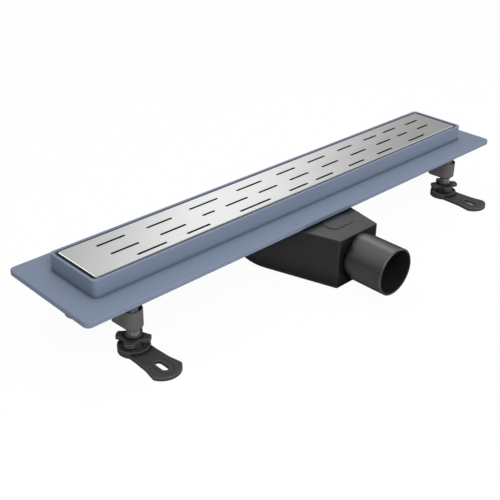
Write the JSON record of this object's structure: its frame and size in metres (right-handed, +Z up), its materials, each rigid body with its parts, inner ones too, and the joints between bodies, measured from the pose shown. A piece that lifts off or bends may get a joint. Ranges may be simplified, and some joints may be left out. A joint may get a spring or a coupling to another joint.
{
  "type": "linear shower drain",
  "caption": "Shower channel drain with a flush slotted steel grate, wide flange, side outlet trap and height-adjustable feet with swivelling floor plates.",
  "frame": {"origin": "centre of the top face of the grate, level with the rim", "axes": "+Z up, +X along the channel, -Y towards the side outlet"},
  "size_m": [0.578, 0.204, 0.078],
  "materials": {
    "channel_plastic": "satin grey-blue moulded plastic",
    "brushed_steel": "brushed stainless steel sheet",
    "trap_plastic": "satin black moulded plastic",
    "bracket_plastic": "matt grey moulded plastic",
    "foot_plastic": "matt dark grey moulded plastic",
    "zinc_steel": "bright zinc-plated steel",
    "black_rubber": "black rubber"
  },
  "bodies": {
    "root": {"channel_body": "channel_plastic", "grate": "brushed_steel", "grate_pads": "black_rubber", "trap_body": "trap_plastic", "trap_base": "trap_plastic", "trap_gasket": "black_rubber", "clamp_ring": "channel_plastic", "clamp_screws": "zinc_steel", "dip_tube": "trap_plastic", "dip_tube_seal": "black_rubber", "hair_strainer": "trap_plastic", "foot_bracket_front_left": "bracket_plastic", "bracket_screws_front_left": "zinc_steel", "foot_bracket_front_right": "bracket_plastic", "bracket_screws_front_right": "zinc_steel", "foot_bracket_back_left": "bracket_plastic", "bracket_screws_back_left": "zinc_steel", "foot_bracket_back_right": "bracket_plastic", "bracket_screws_back_right": "zinc_steel"},
    "stud_front_left": {"stud_front_left": "zinc_steel"},
    "wheel_front_left": {"star_wheel_front_left": "foot_plastic"},
    "plate_front_left": {"foot_plate_front_left": "foot_plastic"},
    "stud_front_right": {"stud_front_right": "zinc_steel"},
    "wheel_front_right": {"star_wheel_front_right": "foot_plastic"},
    "plate_front_right": {"foot_plate_front_right": "foot_plastic"},
    "stud_back_left": {"stud_back_left": "zinc_steel"},
    "wheel_back_left": {"star_wheel_back_left": "foot_plastic"},
    "plate_back_left": {"foot_plate_back_left": "foot_plastic"},
    "stud_back_right": {"stud_back_right": "zinc_steel"},
    "wheel_back_right": {"star_wheel_back_right": "foot_plastic"},
    "plate_back_right": {"foot_plate_back_right": "foot_plastic"}
  },
  "joints": [
    {"name": "height_front_left", "type": "slide", "parent": "root", "child": "stud_front_left", "axis": [0, 0, -1], "range_m": [-0.004, 0.018]},
    {"name": "wheel_turn_front_left", "type": "hinge", "parent": "stud_front_left", "child": "wheel_front_left", "pos_m": [-0.232, -0.041, -0.066], "axis": [0, 0, -1], "range_deg": [-828, 3708]},
    {"name": "plate_swivel_front_left", "type": "hinge", "parent": "stud_front_left", "child": "plate_front_left", "pos_m": [-0.232, -0.041, -0.076], "axis": [0, 0, 1], "continuous": true},
    {"name": "height_front_right", "type": "slide", "parent": "root", "child": "stud_front_right", "axis": [0, 0, -1], "range_m": [-0.004, 0.018]},
    {"name": "wheel_turn_front_right", "type": "hinge", "parent": "stud_front_right", "child": "wheel_front_right", "pos_m": [0.232, -0.041, -0.066], "axis": [0, 0, -1], "range_deg": [-828, 3708]},
    {"name": "plate_swivel_front_right", "type": "hinge", "parent": "stud_front_right", "child": "plate_front_right", "pos_m": [0.232, -0.041, -0.076], "axis": [0, 0, 1], "continuous": true},
    {"name": "height_back_left", "type": "slide", "parent": "root", "child": "stud_back_left", "axis": [0, 0, -1], "range_m": [-0.004, 0.018]},
    {"name": "wheel_turn_back_left", "type": "hinge", "parent": "stud_back_left", "child": "wheel_back_left", "pos_m": [-0.232, 0.041, -0.066], "axis": [0, 0, -1], "range_deg": [-828, 3708]},
    {"name": "plate_swivel_back_left", "type": "hinge", "parent": "stud_back_left", "child": "plate_back_left", "pos_m": [-0.232, 0.041, -0.076], "axis": [0, 0, 1], "continuous": true},
    {"name": "height_back_right", "type": "slide", "parent": "root", "child": "stud_back_right", "axis": [0, 0, -1], "range_m": [-0.004, 0.018]},
    {"name": "wheel_turn_back_right", "type": "hinge", "parent": "stud_back_right", "child": "wheel_back_right", "pos_m": [0.232, 0.041, -0.066], "axis": [0, 0, -1], "range_deg": [-828, 3708]},
    {"name": "plate_swivel_back_right", "type": "hinge", "parent": "stud_back_right", "child": "plate_back_right", "pos_m": [0.232, 0.041, -0.076], "axis": [0, 0, 1], "continuous": true}
  ],
  "couplings": [
    {"joint": "wheel_turn_front_left", "follows": "height_front_left", "rad_per_m": 3590.4},
    {"joint": "wheel_turn_front_right", "follows": "height_front_right", "rad_per_m": 3590.4},
    {"joint": "wheel_turn_back_left", "follows": "height_back_left", "rad_per_m": 3590.4},
    {"joint": "wheel_turn_back_right", "follows": "height_back_right", "rad_per_m": 3590.4}
  ]
}
